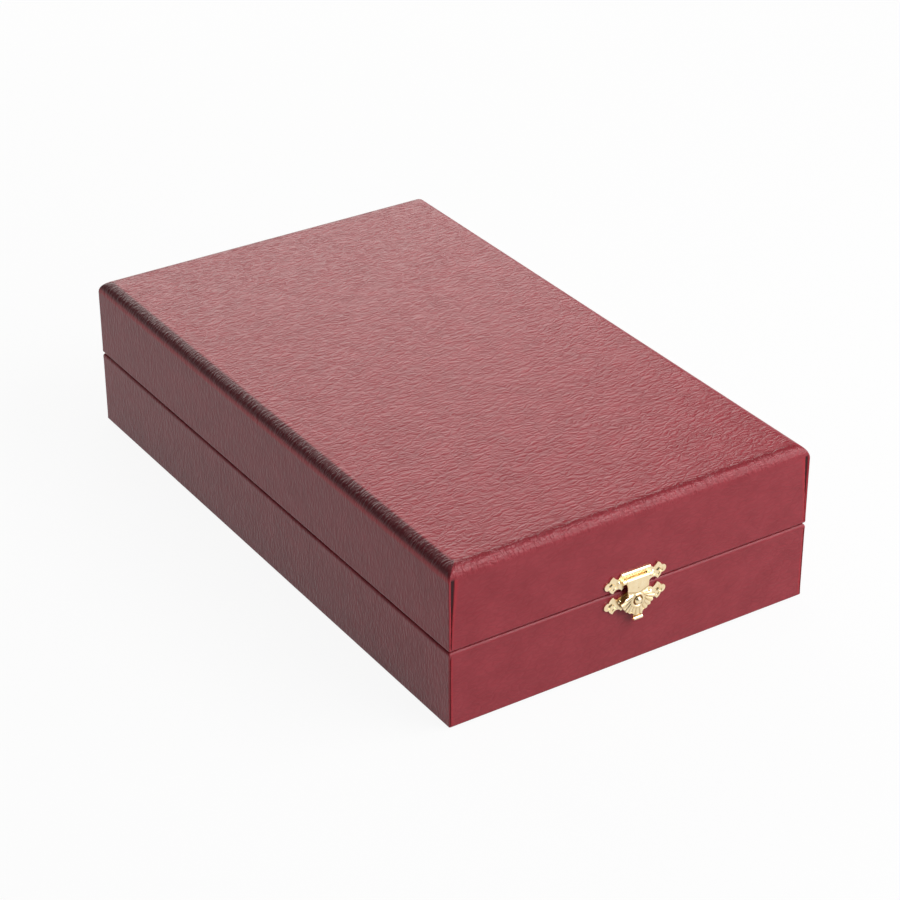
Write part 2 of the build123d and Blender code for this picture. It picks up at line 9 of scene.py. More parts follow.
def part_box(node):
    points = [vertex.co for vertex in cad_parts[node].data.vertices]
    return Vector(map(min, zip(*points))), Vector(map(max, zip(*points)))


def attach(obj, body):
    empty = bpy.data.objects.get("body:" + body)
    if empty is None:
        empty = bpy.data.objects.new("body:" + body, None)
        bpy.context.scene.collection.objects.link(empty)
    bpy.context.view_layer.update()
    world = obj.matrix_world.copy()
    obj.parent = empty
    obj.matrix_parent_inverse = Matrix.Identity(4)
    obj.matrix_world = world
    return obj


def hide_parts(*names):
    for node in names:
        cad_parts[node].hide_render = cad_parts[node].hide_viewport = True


# A burgundy leatherette plaque box with a pale gold shell hasp, in metres, in the frame's own axes
MM = 0.001

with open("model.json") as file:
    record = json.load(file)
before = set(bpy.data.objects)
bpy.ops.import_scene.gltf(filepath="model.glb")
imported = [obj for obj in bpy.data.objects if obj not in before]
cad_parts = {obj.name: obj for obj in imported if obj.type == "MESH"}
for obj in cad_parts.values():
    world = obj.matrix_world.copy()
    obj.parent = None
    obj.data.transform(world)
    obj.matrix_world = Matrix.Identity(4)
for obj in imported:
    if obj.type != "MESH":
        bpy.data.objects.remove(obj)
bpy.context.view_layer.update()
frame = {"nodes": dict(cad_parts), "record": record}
nodes = frame["nodes"]
wrap_low, wrap_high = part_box("base_wrap")
lid_low, lid_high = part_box("lid_wrap")

# Sizes of the wraps. The tray's rim, the inner rims and the upright corners are rounder here than
# in the solids.
half_x = wrap_high.x
half_y = wrap_high.y
edge_radius = 5.5 * MM
lid_rim_radius = 0.9 * MM
tray_rim_radius = 1.4 * MM
foot_radius = 0.6 * MM
inner_rim_radius = 0.5 * MM
skin = 0.8 * MM
turn_in = 10 * MM
base_wall = 6.0 * MM
lid_wall = 5.5 * MM
flange = 14 * MM
corner_radius = 0.45 * MM
corner_spread = 0.5

# Spacing of the wraps' rings and columns
side_step = 2.6 * MM
upright_step = 1.3 * MM
top_step = 9 * MM
top_middle = 1.5 * MM
beside_arc = 0.3 * MM
beside_edge = 0.4 * MM
corner_steps = 8
quarter_turns = (0, 30, 60, 90)

# The laps beside the upright corners of the front and back: the side flap is turned round the
# corner, and the front or back flap ends beside it with a slit between them
lap_span = 4.0 * MM
lap_step = 0.13 * MM
lap_drop = 0.16 * MM
lap_glow = 0.9 * MM
lap_rise = 1.6 * MM
side_inset = 0.25 * MM
touch = 0.001 * MM

# Marks on the lid's rounding. A band runs from one angle to another, in radians up from the
# upright face: where it starts, where it is full, where it starts to fade and where it ends
wrinkle_band = (0.12, 0.5, math.pi / 2 - 0.45, math.pi / 2 - 0.02)
# The next band is a darker red line of painted shade near the top of the front's and back's rounding.
shade_line_band = (0.95, 1.15, 1.42, 1.57)
line_band = (0.0, 0.12, 0.3, 0.5)
# The next band is a wide band of painted shade over the left side's rounding.
left_shade_band = (0.25, 0.6, 1.36, 1.56)
# The next level is how strong that painted shade line is.
shade_line_level = 0.35
# The next level is how strong the painted shade band over the left rounding is.
left_shade_level = 0.75
long_side_wrinkles = 0.15
grain_lost_on_ends = 0.6
grain_lost_on_long_sides = 0.35

# How far the tray's grain is moved on the sheet, so that it doesn't repeat the lid's
tray_sheet_shift = 37 * MM

# Unevenness of the wraps over their boards, in millimetres and with the scales of its noise. There
# is none round the clasp, nor at the same place on the back.
wave_level = 0.05
broad_wave, broad_scale = 0.05, 28
fine_wave, fine_scale = 0.03, 95
calm_half_width = 14 * MM
calm_end = 24 * MM


# Node helpers


class Graph:
    """Adds, sets and links the nodes of a material or a world."""

    def __init__(self, owner):
        owner.use_nodes = True
        self.tree = owner.node_tree
        self.tree.nodes.clear()

    def feed(self, socket, value):
        """Sets a socket to a number, vector or colour, or links an output to it."""
        if isinstance(value, bpy.types.NodeSocket):
            self.tree.links.new(value, socket)
        elif socket.type == "RGBA":
            socket.default_value = (*value, 1.0)
        else:
            socket.default_value = value

    def add(self, kind, inputs=None, **properties):
        """A node with these properties, and these inputs by name or number."""
        node = self.tree.nodes.new("ShaderNode" + kind)
        for key, value in properties.items():
            setattr(node, key, value)
        for key, value in (inputs or {}).items():
            self.feed(node.inputs[key], value)
        return node

    def math(self, operation, first, second):
        return self.add("Math", {0: first, 1: second}, operation=operation).outputs[0]

    def remap(self, value, from_min, from_max, to_min, to_max):
        """A value brought from one range to another, and held at the range's ends."""
        ranges = {"From Min": from_min, "From Max": from_max, "To Min": to_min, "To Max": to_max}
        return self.add("MapRange", {"Value": value, **ranges}).outputs[0]

    def mix(self, factor, first, second):
        return self.add("Mix", {0: factor, 6: first, 7: second}, data_type="RGBA").outputs[2]

    def scaled(self, coordinates, scale):
        return self.add("Mapping", {"Vector": coordinates, "Scale": scale}).outputs[0]

    def noise(self, coordinates, scale, detail=2.0, roughness=0.5, distortion=0.0, output=0):
        character = {"Detail": detail, "Roughness": roughness, "Distortion": distortion}
        node = self.add("TexNoise", {"Vector": coordinates, "Scale": scale, **character})
        return node.outputs[output]

    def cells(self, coordinates, scale):
        """Distance to the nearest edge between irregular cells."""
        placing = {"Vector": coordinates, "Scale": scale}
        return self.add("TexVoronoi", placing, feature="DISTANCE_TO_EDGE").outputs["Distance"]

    def bump(self, height, strength, distance):
        relief = {"Height": height, "Strength": strength, "Distance": distance}
        return self.add("Bump", relief).outputs[0]


class Finish(Graph):
    """A material with one shader."""

    def __init__(self, name, shader="BsdfPrincipled"):
        self.material = bpy.data.materials.new(name)
        super().__init__(self.material)
        self.shader = self.add(shader)
        self.add("OutputMaterial", {"Surface": self.shader.outputs[0]})

    def done(self, inputs):
        """The material, with these inputs of its shader."""
        for key, value in inputs.items():
            self.feed(self.shader.inputs[key], value)
        return self.material


def srgb(*channels):
    """A linear colour from display values of 0 to 255."""
    shares = [channel / 255 for channel in channels]
    return tuple(
        share / 12.92 if share <= 0.04045 else ((share + 0.055) / 1.055) ** 2.4 for share in shares
    )


# Materials


def leatherette():
    """Embossed burgundy leatherette, whose long cells run across the sheet and so follow its UVs.

    The mesh gives its marks: red for bright edges and part of a painted shade line, green for painted
    shade in the slits and on the roundings, blue for wrinkles and alpha for the amount of grain.
    """
    plain, redder = srgb(128, 38, 47), srgb(137, 45, 54)
    # The third colour here is that of the painted shade in the slits and on the roundings.
    valley, bright_edge, painted_shade_colour = srgb(84, 16, 24), srgb(158, 34, 44), srgb(56, 18, 24)
    g = Finish("leatherette")
    sheet = g.add("UVMap", uv_map="sheet").outputs[0]
    marks = g.add("Attribute", attribute_name="marks")
    bright, painted_shade, wrinkled = g.add("SeparateColor", {0: marks.outputs["Color"]}).outputs

    wander = g.noise(sheet, 260.0, 1.0, output="Color")
    centred = g.add("VectorMath", {0: wander, 1: (0.5, 0.5, 0.5)}, operation="SUBTRACT").outputs[0]
    reach = (0.0022, 0.0016, 0.0)
    warp = g.add("VectorMath", {0: centred, 1: reach, 2: sheet}, operation="MULTIPLY_ADD")
    warped = warp.outputs[0]
    valleys = g.remap(g.cells(g.scaled(warped, (0.38, 1.0, 1.0)), 620.0), 0.0, 0.22, 0.0, 1.0)
    ripples = g.noise(g.scaled(warped, (0.33, 1.0, 1.0)), 600.0, 1.0, 0.45)
    pores = g.noise(sheet, 3600.0, 1.0)
    grain = g.math("ADD", g.math("MULTIPLY", valleys, 0.5), g.math("MULTIPLY", ripples, 1.1))
    grain = g.math("ADD", grain, g.math("MULTIPLY", pores, 0.05))
    grain = g.math("MULTIPLY", grain, marks.outputs["Alpha"])
    wrinkles = g.noise(g.scaled(warped, (1.0, 0.42, 1.0)), 760.0, 2.0, 0.5, 0.4)
    wrinkles = g.math("MULTIPLY", wrinkles, g.math("MULTIPLY", wrinkled, 3.0))

    drift = g.remap(g.noise(sheet, 90.0), 0.3, 0.7, 0.0, 1.0)
    colour = g.mix(drift, plain, redder)
    colour = g.mix(g.remap(valleys, 0.0, 1.0, 0.12, 0.0), colour, valley)
    # The red mark is the flap edges' own red, and also part of the painted shade line on the ends'
    # rounding.
    colour = g.mix(g.math("MULTIPLY", bright, 0.7), colour, bright_edge)
    # Painted shade: the slits, the band over the left rounding and the line on the ends' rounding are
    # darkened in colour.
    colour = g.mix(painted_shade, colour, painted_shade_colour)
    return g.done({
        "Base Color": colour,
        "Roughness": g.remap(ripples, 0.25, 0.75, 0.40, 0.33),
        "Specular IOR Level": 0.25,
        "Normal": g.bump(g.math("ADD", grain, wrinkles), 1.0, 0.00016),
    })


def gold_plate():
    """Polished pale gold plate with faint scratches and a little tarnish, with painted shade in its
    folds.
    """
    pale, tarnished, fold_shade_colour = (0.93, 0.78, 0.52), (0.87, 0.69, 0.42), (0.50, 0.33, 0.15)
    g = Finish("gold_plate")
    place = g.add("TexCoord").outputs["Object"]
    cloud = g.noise(place, 420.0, 3.0)
    scratch = g.noise(g.scaled(place, (1.0, 1.0, 0.08)), 9000.0, 1.0)
    painted_fold_shade = g.add("Attribute", attribute_name="painted_fold_shade").outputs["Color"]
    fold = g.add("SeparateColor", {0: painted_fold_shade}).outputs[0]
    colour = g.mix(g.remap(cloud, 0.35, 0.7, 0.0, 1.0), pale, tarnished)
    return g.done({
        # Painted shade: a dark brown mixed into the folds by the mesh's attribute.
        "Base Color": g.mix(fold, colour, fold_shade_colour),
        "Metallic": 1.0,
        "Roughness": g.remap(cloud, 0.3, 0.7, 0.25, 0.33),
        "Normal": g.bump(scratch, 0.05, 0.00002),
    })


def velvet():
    """Short burgundy velvet with a brushed nap."""
    g = Finish("velvet")
    place = g.add("TexCoord").outputs["Object"]
    nap = g.noise(g.scaled(place, (1.0, 0.7, 1.0)), 55.0, 3.0, 0.55)
    pile = g.noise(place, 4200.0, 2.0, 0.7)
    colour = g.mix(g.remap(nap, 0.35, 0.65, 0.0, 1.0), srgb(74, 14, 24), srgb(98, 22, 34))
    return g.done({
        "Base Color": g.mix(g.remap(pile, 0.3, 0.7, 0.35, 0.0), colour, srgb(42, 6, 12)),
        "Roughness": 0.92,
        "Specular IOR Level": 0.2,
        "Sheen Weight": 0.75,
        "Sheen Roughness": 0.4,
        "Sheen Tint": srgb(214, 120, 130),
        "Normal": g.bump(pile, 0.6, 0.00025),
    })


def satin():
    """Ivory satin with fine warp lines and a soft directional gloss."""
    g = Finish("satin")
    place = g.add("TexCoord").outputs["Object"]
    weave = {"Vector": place, "Scale": 1400.0, "Distortion": 0.6}
    warp_lines = g.add("TexWave", weave, wave_type="BANDS", bands_direction="X").outputs["Fac"]
    slub = g.noise(g.scaled(place, (1.0, 0.05, 1.0)), 900.0)
    colour = g.mix(g.remap(slub, 0.3, 0.7, 0.0, 1.0), srgb(230, 220, 197), srgb(236, 227, 205))
    return g.done({
        "Base Color": colour,
        "Roughness": g.remap(slub, 0.3, 0.7, 0.34, 0.46),
        "Anisotropic": 0.5,
        "Sheen Weight": 0.25,
        "Normal": g.bump(warp_lines, 0.12, 0.00005),
    })


def board():
    """Bare fibreboard, which the wraps and liners cover."""
    g = Finish("board")
    fibre = g.noise(g.add("TexCoord").outputs["Object"], 1800.0, 4.0, 0.7)
    colour = g.mix(g.remap(fibre, 0.3, 0.7, 0.0, 1.0), srgb(138, 106, 74), srgb(168, 134, 98))
    return g.done({
        "Base Color": colour,
        "Roughness": 0.85,
        "Normal": g.bump(fibre, 0.3, 0.0002),
    })


def flocked_paper():
    """The black flocked paper under the box."""
    g = Finish("flocked_paper")
    flock = g.noise(g.add("TexCoord").outputs["Object"], 3600.0, 2.0, 0.7)
    return g.done({
        "Base Color": g.mix(g.remap(flock, 0.3, 0.7, 0.0, 1.0), srgb(22, 18, 18), srgb(44, 36, 36)),
        "Roughness": 0.95,
        "Sheen Weight": 0.3,
        "Normal": g.bump(flock, 0.5, 0.0002),
    })


slot_materials = {
    "leatherette": leatherette(),
    "gold_brass": gold_plate(),
    "velvet": velvet(),
    "satin": satin(),
    "board": board(),
    "underside_paper": flocked_paper(),
}


# Camera


def look(azimuth, elevation, roll, distance, target, lens):
    """A camera that looks at a target. Angles are in degrees, and azimuth 0 is from the front."""
    a, e, r = math.radians(azimuth), math.radians(elevation), math.radians(roll)
    back = Vector((math.sin(a) * math.cos(e), -math.cos(a) * math.cos(e), math.sin(e)))
    right = (-back).cross(Vector((0, 0, 1))).normalized()
    up = right.cross(-back)
    turned_right = math.cos(r) * right + math.sin(r) * up
    turned_up = math.cos(r) * up - math.sin(r) * right
    data = bpy.data.cameras.new("camera")
    data.lens = lens
    data.sensor_width = 36.0
    data.clip_start = 0.01
    camera = bpy.data.objects.new("camera", data)
    turn = Matrix((turned_right, turned_up, back)).transposed().to_4x4()
    camera.matrix_world = Matrix.Translation(target + back * distance) @ turn
    bpy.context.scene.collection.objects.link(camera)
    bpy.context.scene.camera = camera


look(
    azimuth=-32.786,
    elevation=29.817,
    roll=-0.172,
    distance=1.046,
    target=Vector((-2.74, -16.04, 33.2)) * MM,
    lens=105.96,
)


# Meshes lofted from rings


def clamp(value):
    return min(max(value, 0.0), 1.0)


def smooth(start, full, value):
    """0 up to start and 1 from full, with an ease between. Start may be the larger of the two."""
    share = clamp((value - start) / (full - start))
    return share * share * (3 - 2 * share)


def band(value, start, full, fade, end):
    """1 between full and fade, with an ease in from start and an ease out to end."""
    return smooth(start, full, value) * (1 - smooth(fade, end, value))


def bell(value, middle, width):
    """1 at the middle, falling away on both sides."""
    return math.exp(-(((value - middle) / width) ** 2))


def spaced(low, high, step):
    """Values from low to high, at most a step apart."""
    count = max(int(math.ceil(abs(high - low) / step)), 1)
    return [low + (high - low) * index / count for index in range(count + 1)]


def arc(centre, radius, start, stop, steps):
    """Points of a profile on an arc, as (inset, height) pairs. Angles are in degrees from outwards."""
    turns = [math.radians(start + (stop - start) * index / steps) for index in range(steps + 1)]
    return [
        (centre[0] - radius * math.cos(turn), centre[1] + radius * math.sin(turn)) for turn in turns
    ]


class Outline:
    """Places round a rectangle with rounded corners, from the front's left end and anticlockwise."""

    def __init__(self, size_x, size_y, across, along, steps):
        self.size = (size_x, size_y)
        self.across = across
        self.along = along
        self.steps = steps
        self.sides = []
        order = ("front", "right", "back", "left")
        for index, places in enumerate((across, along, across, along)):
            self.sides += [order[index]] * (len(places) - 1 + steps // 2)
            self.sides += [order[(index + 1) % 4]] * (steps - steps // 2)

    def ring(self, inset, radius):
        """(x, y, outward x, outward y) of each place on the rectangle drawn in by an inset."""
        x, y = self.size[0] - inset, self.size[1] - inset
        radius = min(radius, x * 0.98, y * 0.98)
        flat_x, flat_y = x - radius, y - radius
        places = []
        for shares, start, run, normal in (
            (self.across, (0, -y), (flat_x, 0), -90),
            (self.along, (x, 0), (0, flat_y), 0),
            (self.across, (0, y), (-flat_x, 0), 90),
            (self.along, (-x, 0), (0, -flat_y), 180),
        ):
            out = math.radians(normal)
            for share in shares:
                places.append(
                    (start[0] + run[0] * share, start[1] + run[1] * share, math.cos(out), math.sin(out))
                )
            end_x = start[0] + run[0] - radius * math.cos(out)
            end_y = start[1] + run[1] - radius * math.sin(out)
            for step in range(1, self.steps):
                turn = out + math.pi / 2 * step / self.steps
                places.append(
                    (end_x + radius * math.cos(turn), end_y + radius * math.sin(turn),
                     math.cos(turn), math.sin(turn))
                )
        return places


def lofted(name, rings, looped):
    """A closed mesh through rings of points. A loft that isn't looped gets a face on each end."""
    count = len(rings[0])
    faces = []
    pairs = len(rings) if looped else len(rings) - 1
    for level in range(pairs):
        this, above = level * count, (level + 1) % len(rings) * count
        for place in range(count):
            beside = (place + 1) % count
            faces.append((this + place, above + place, above + beside, this + beside))
    if not looped:
        faces.append(tuple(range(count)))
        faces.append(tuple(range((len(rings) - 1) * count, len(rings) * count))[::-1])
    mesh = bpy.data.meshes.new(name)
    mesh.from_pydata([point for ring in rings for point in ring], [], faces)
    mesh.update()
    piece = bpy.data.objects.new(name, mesh)
    bpy.context.scene.collection.objects.link(piece)
    return piece


# Leatherette wraps


def lid_lap(share):
    """Middle, half width and depth of the lid's slit at a share of the height of its upright face.

    The slit leans away from the corner and widens as it rises.
    """
    return (0.95 + 0.75 * share) * MM, (0.16 + 0.62 * smooth(0.25, 1.0, share)) * MM, 0.6 * MM


def base_lap(share):
    """The same for the tray, whose slit is thin and nearly straight."""
    return (0.62 + 0.06 * share) * MM, 0.17 * MM, 0.45 * MM


def lap_push(distance, share, lap):
    """How far the sheet lies under its face at a distance from the corner, and its two marks: the red of
    the flap's edge and the painted shade in the slit.
    """
    middle, width, depth = lap(share)
    ends = band(share, 0.0, 0.02, 0.965, 1.0)
    turned = 1 - smooth(middle - width, middle + width, distance)
    groove = max(1 - ((distance - middle) / width) ** 2, 0.0)
    bright = 1 - smooth(middle + width, middle + 3 * width + lap_glow, distance)
    push = lap_drop * turned + depth * math.sqrt(groove)
    return ends * push, ends * bright, ends * smooth(0.05, 0.5, groove)


def wave(x, y, z):
    """How far the wrap dips over its boards."""
    on_end_face = abs(abs(y) - half_y) < 2 * MM
    calm = smooth(calm_half_width, calm_end, abs(x)) if on_end_face else 1.0
    place = Vector((x, y, z))
    broad = broad_wave * noise.noise(place * broad_scale)
    fine = fine_wave * noise.noise(place * fine_scale)
    return calm * MM * (wave_level + broad + fine)


def side_places(size):
    """Shares along a side, close together where a lap may be, beside its corners."""
    near = spaced(0, lap_span, lap_step)
    reach = size - corner_radius
    far = spaced(lap_span - reach, reach - lap_span, side_step)
    start = [place - reach for place in near[:-1]]
    end = [reach - place for place in reversed(near[:-1])]
    return [place / reach for place in start + far + end]


def sheet_marks(turn, out_x, out_y, bright, painted_shade):
    """A point's marks: bright edge, painted shade, wrinkles and amount of grain.

    turn is how far up the rounding it lies, and the last two arguments are the marks of its lap: the red
    of its flap's edge and the painted shade in its slit.
    """
    upright = 1 - smooth(0.1, 0.9, turn)
    wrinkles = band(turn, *wrinkle_band)
    if abs(out_y) > abs(out_x):
        # A line of painted shade near the top of the rounding, mixed in as both the red and the darkening
        # mark.
        shade_line = shade_line_level * band(turn, *shade_line_band)
        return max(bright, shade_line), max(painted_shade, shade_line), wrinkles, 1 - grain_lost_on_ends * upright
    if out_x < 0:
        bright = max(bright, band(turn, *line_band))
        # A band of painted shade over the left side's rounding.
        painted_shade = max(painted_shade, left_shade_level * band(turn, *left_shade_band))
    return bright, painted_shade, long_side_wrinkles * wrinkles, 1 - grain_lost_on_long_sides * upright


def paint_sheet(mesh, outline, runs, edge_run, shift):
    """UVs in metres on the flat sheet: the top as seen from above, and each side flap run on from it.

    runs are the rings' distances down the profile, and edge_run is the one that would lie on the
    box's edge if the edge were sharp.
    """
    sheet = mesh.uv_layers.new(name="sheet")
    count = len(outline.sides)
    signs = {"front": (0, -1), "back": (0, 1), "left": (-1, 0), "right": (1, 0)}
    for polygon in mesh.polygons:
        corners = [mesh.loops[loop].vertex_index for loop in polygon.loop_indices]
        columns = {corner % count for corner in corners}
        column = count - 1 if columns == {0, count - 1} else min(columns)
        across, along = signs[outline.sides[column]]
        for loop, corner in zip(polygon.loop_indices, corners):
            x, y, _ = mesh.vertices[corner].co
            beyond = runs[corner // count] - edge_run + shift
            if len(corners) > 4:
                sheet.data[loop].uv = (x, y)
            elif across:
                sheet.data[loop].uv = (across * (half_x + beyond), y)
            else:
                sheet.data[loop].uv = (x, along * (half_y + beyond))
        polygon.use_smooth = len(corners) == 4


def wrap_skin(name, node, body, profile, upright, lap, crown, looped, shift=0.0):
    """One wrap, from a profile of (inset, height) pairs.

    upright gives the lowest and highest point of its flat sides, crown the edge radius above them,
    and shift moves its place on the flat sheet.
    """
    outline = Outline(half_x, half_y, side_places(half_x), side_places(half_y), corner_steps)
    low, high = upright
    lap_top = high + lap_rise if crown else high
    runs = [0.0]
    for before, after in zip(profile, profile[1:]):
        runs.append(runs[-1] + math.dist(before, after))
    start = next(run for (inset, _), run in zip(profile, runs) if inset <= crown + touch)
    rings, marks = [], []
    for inset, height in profile:
        rounded = height > high
        turn = math.atan2(height - high, crown - inset) if rounded and crown else 0.0
        spread = corner_spread * min(inset, crown) if rounded else 0.0
        share = clamp((height - low) / (lap_top - low))
        level = band(share, 0.0, 0.08, 0.92, 1.0)
        on_side = inset < side_inset and low <= height
        ring = []
        for x, y, out_x, out_y in outline.ring(inset, corner_radius + spread):
            # Each lap gives the flap edge's red and the painted shade in its slit.
            push, bright, painted_shade = 0.0, 0.0, 0.0
            if on_side and abs(out_y) > 0.99:
                push, bright, painted_shade = lap_push(half_x - abs(x), share, lap)
            if on_side:
                push += wave(x, y, height) * level
            ring.append((x - out_x * push, y - out_y * push, height))
            marks.append(sheet_marks(turn, out_x, out_y, bright, painted_shade))
        rings.append(ring)
    piece = lofted(name, rings, looped)
    colours = piece.data.color_attributes.new("marks", "FLOAT_COLOR", "POINT")
    for row, mark in zip(colours.data, marks):
        row.color = mark
    paint_sheet(piece.data, outline, runs, crown + start, shift)
    piece.data.materials.append(slot_materials["leatherette"])
    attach(piece, body)
    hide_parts(node)


def lid_profile():
    """The lid's wrap, from the middle of its top out, down, in under its rim and back up inside."""
    low, high = lid_low.z, lid_high.z
    inside = lid_wall + 2 * skin
    rim_middle = inside - inner_rim_radius
    side_top, side_foot = high - edge_radius, low + lid_rim_radius
    points = [(inset, high) for inset in spaced(half_x - top_middle, edge_radius + beside_edge, top_step)]
    points += arc((edge_radius, side_top), edge_radius, 90, 0, 16)
    uprights = spaced(side_top - beside_edge, side_foot + beside_arc, upright_step)
    points += [(0, height) for height in uprights]
    points += arc((lid_rim_radius, side_foot), lid_rim_radius, 0, -90, 6)
    points += [(inset, low) for inset in (lid_rim_radius + beside_arc, rim_middle - beside_arc)]
    points += [
        (rim_middle + inner_rim_radius * math.sin(math.radians(turn)),
         low + inner_rim_radius - inner_rim_radius * math.cos(math.radians(turn)))
        for turn in quarter_turns
    ]
    points += [(inside, low + turn_in), (inside - skin, low + turn_in), (inside - skin, low + skin)]
    points += [(skin, low + skin)]
    points += arc((edge_radius, side_top), edge_radius - skin, 0, 90, 6)
    return points


def base_profile():
    """The tray's wrap, from its rim out, down, in under its foot and back round behind itself."""
    low, high = wrap_low.z, wrap_high.z
    inside = base_wall + 2 * skin
    rim_middle = inside - inner_rim_radius
    side_top, side_foot = high - tray_rim_radius, low + foot_radius
    points = [(inset, high) for inset in (rim_middle - beside_arc, tray_rim_radius + beside_arc)]
    points += arc((tray_rim_radius, side_top), tray_rim_radius, 90, 0, 8)
    uprights = spaced(side_top - beside_arc, side_foot + beside_arc, upright_step)
    points += [(0, height) for height in uprights]
    points += arc((foot_radius, side_foot), foot_radius, 0, -90, 5)
    points += [(foot_radius + beside_arc, low), (flange, low), (flange, low + skin), (skin, low + skin)]
    points += [(skin, high - skin), (inside - skin, high - skin), (inside - skin, high - turn_in)]
    points += [(inside, high - turn_in)]
    points += [
        (rim_middle + inner_rim_radius * math.cos(math.radians(turn)),
         high - inner_rim_radius + inner_rim_radius * math.sin(math.radians(turn)))
        for turn in quarter_turns
    ]
    return points


wrap_skin(
    "lid_leatherette",
    "lid_wrap",
    "lid",
    lid_profile(),
    (lid_low.z + lid_rim_radius, lid_high.z - edge_radius),
    lid_lap,
    edge_radius,
    looped=False,
)
wrap_skin(
    "base_leatherette",
    "base_wrap",
    "base",
    base_profile(),
    (wrap_low.z + foot_radius, wrap_high.z - tray_rim_radius),
    base_lap,
    0.0,
    looped=True,
    shift=tray_sheet_shift,
)


# Satin cushion glued into the lid

cushion_edge = 11 * MM
cushion_middle_start = 13 * MM
cushion_draw = 1.8 * MM
cushion_draw_steps = 5
cushion_step = 1.4 * MM
cushion_corner = 8 * MM
gather_full, gather_end = 4 * MM, 17 * MM

# Shares of the cushion's depth: at its edge, gained round the edge and gained by the middle
edge_share, round_share, crown_share = 0.3, 0.52, 0.18


def cushion_drop(inset, depth):
    """How far the cushion's face lies under the ceiling at an inset from its edge."""
    rise = math.sqrt(max(1 - (1 - min(inset / cushion_edge, 1.0)) ** 2, 0.0))
    middle = smooth(0.4 * cushion_edge, 5 * cushion_edge, inset)
    return depth * (edge_share + round_share * rise + crown_share * middle)


def cushion_profile(half_width, depth):
    """(inset, drop) pairs from the ceiling, where the sides draw in, to the middle."""
    turns = [math.pi / 2 * step / cushion_draw_steps for step in range(cushion_draw_steps)]
    points = [
        (cushion_draw * (1 - math.sin(turn)), depth * edge_share * step / cushion_draw_steps)
        for step, turn in enumerate(turns)
    ]
    insets = spaced(0, cushion_edge, 0.9 * MM)
    insets += spaced(cushion_middle_start, half_width - 1.2 * MM, 3 * MM)
    return points + [(inset, cushion_drop(inset, depth)) for inset in insets]


def satin_cushion():
    """A crowned pad whose sides draw in to the lid's ceiling, with small gathers round its edge."""
    low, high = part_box("lid_pad")
    pad_x, pad_y, depth = (high.x - low.x) / 2, (high.y - low.y) / 2, high.z - low.z
    across = [place / pad_x for place in spaced(-pad_x, pad_x, cushion_step)]
    along = [place / pad_y for place in spaced(-pad_y, pad_y, cushion_step)]
    outline = Outline(pad_x, pad_y, across, along, 12)
    rings = []
    for inset, drop in cushion_profile(pad_x, depth):
        gather = (1 - smooth(gather_full, gather_end, inset)) * smooth(0.02, 0.3, drop / depth)
        ring = []
        for x, y, out_x, out_y in outline.ring(inset, cushion_corner - min(inset, 5 * MM)):
            fold = noise.noise(Vector((x * out_y + 3, y * out_x, 0)) * 260)
            sag = 0.35 * noise.noise(Vector((x, y, 0.0)) * 34)
            lift = MM * (0.42 * gather * abs(fold) + 0.35 * abs(sag))
            ring.append((x - out_x * lift * 0.6, y - out_y * lift * 0.6, high.z - drop + lift))
        rings.append(ring)
    rings.reverse()
    piece = lofted("satin_cushion", rings, looped=False)
    piece.data.flip_normals()
    for polygon in piece.data.polygons:
        polygon.use_smooth = len(polygon.vertices) == 4
    piece.data.materials.append(slot_materials["satin"])
    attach(piece, "lid")
    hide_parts("lid_pad")


satin_cushion()


# Pressed hasp, its stud and the web behind its barrel. Their sizes are in millimetres, with
# heights from the parting line and standoffs from the box's front.

parting = (wrap_high.z + lid_low.z) / 2

# The sheet's path: round the pin, down the front and round the finger tab
pin_height = 4.2
pin_standoff = 1.5
hasp_thickness = 0.5
barrel_middle = 0.65
barrel_wrap = 300
sheet_standoff = pin_standoff + barrel_middle
tab_height = -12.0
tab_radius = 0.45
tab_wrap = 250
path_step = 0.17
path_turn = 12
half_columns = 32

# Its outline: a strip, a waist, a scalloped fan and the tab
strip_half_width = 4.7
barrel_half_width = 5.0
waist_half_width = 4.2
waist_height = -1.9
fan_apex = -0.6
fan_spread = 66.0
fan_length = 9.5
fan_side_loss = 1.2
fan_scallop = 0.16
fan_step = 0.5
tab_half_width = 1.95

# Its pressed forms: a strip that ends in a V, curved flutes, a ring round the hole and a dot
vee_point = -1.4
vee_slope = 0.33
vee_relief = 0.16
flute_width = 12.0
flute_curl = 0.30
flute_relief = 0.42
flute_end = -10.2
hole_height = -4.6
hole_radius = 2.05
ring_radius = 2.5
ring_relief = 0.45
ring_foot_radius = 3.2
dot_height = 0.7
dot_relief = -0.14

# The stud, with (radius, standoff) pairs for its neck, and the web
stud_ball = 1.6
stud_centre = 2.3
stud_neck = [(1.45, 0.6), (1.45, 0.8), (1.05, 1.0)]
circle_steps = 48
web_half_width = 5.15
web_low, web_high = 2.2, 5.42
web_corner = 0.5

metal_crease = math.radians(38)


def on_front(x, standoff, height):
    """A point of the front, from millimetres."""
    return Vector((x * MM, -half_y - standoff * MM, parting + height * MM))


def circle(radius, standoff):
    """A ring of points round the hole's centre."""
    turns = [2 * math.pi * step / circle_steps for step in range(circle_steps)]
    return [
        on_front(radius * math.cos(turn), standoff, hole_height + radius * math.sin(turn))
        for turn in turns
    ]


def face_outwards(mesh):
    made = bmesh.new()
    made.from_mesh(mesh)
    bmesh.ops.recalc_face_normals(made, faces=made.faces)
    made.to_mesh(mesh)
    made.free()


def finish_metal(piece, body, node=None):
    """Smooth faces that break at creases, the plate's material, and the node the piece stands for."""
    face_outwards(piece.data)
    piece.data.shade_smooth()
    piece.data.set_sharp_from_angle(angle=metal_crease)
    piece.data.materials.clear()
    piece.data.materials.append(slot_materials["gold_brass"])
    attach(piece, body)
    if node:
        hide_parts(node)


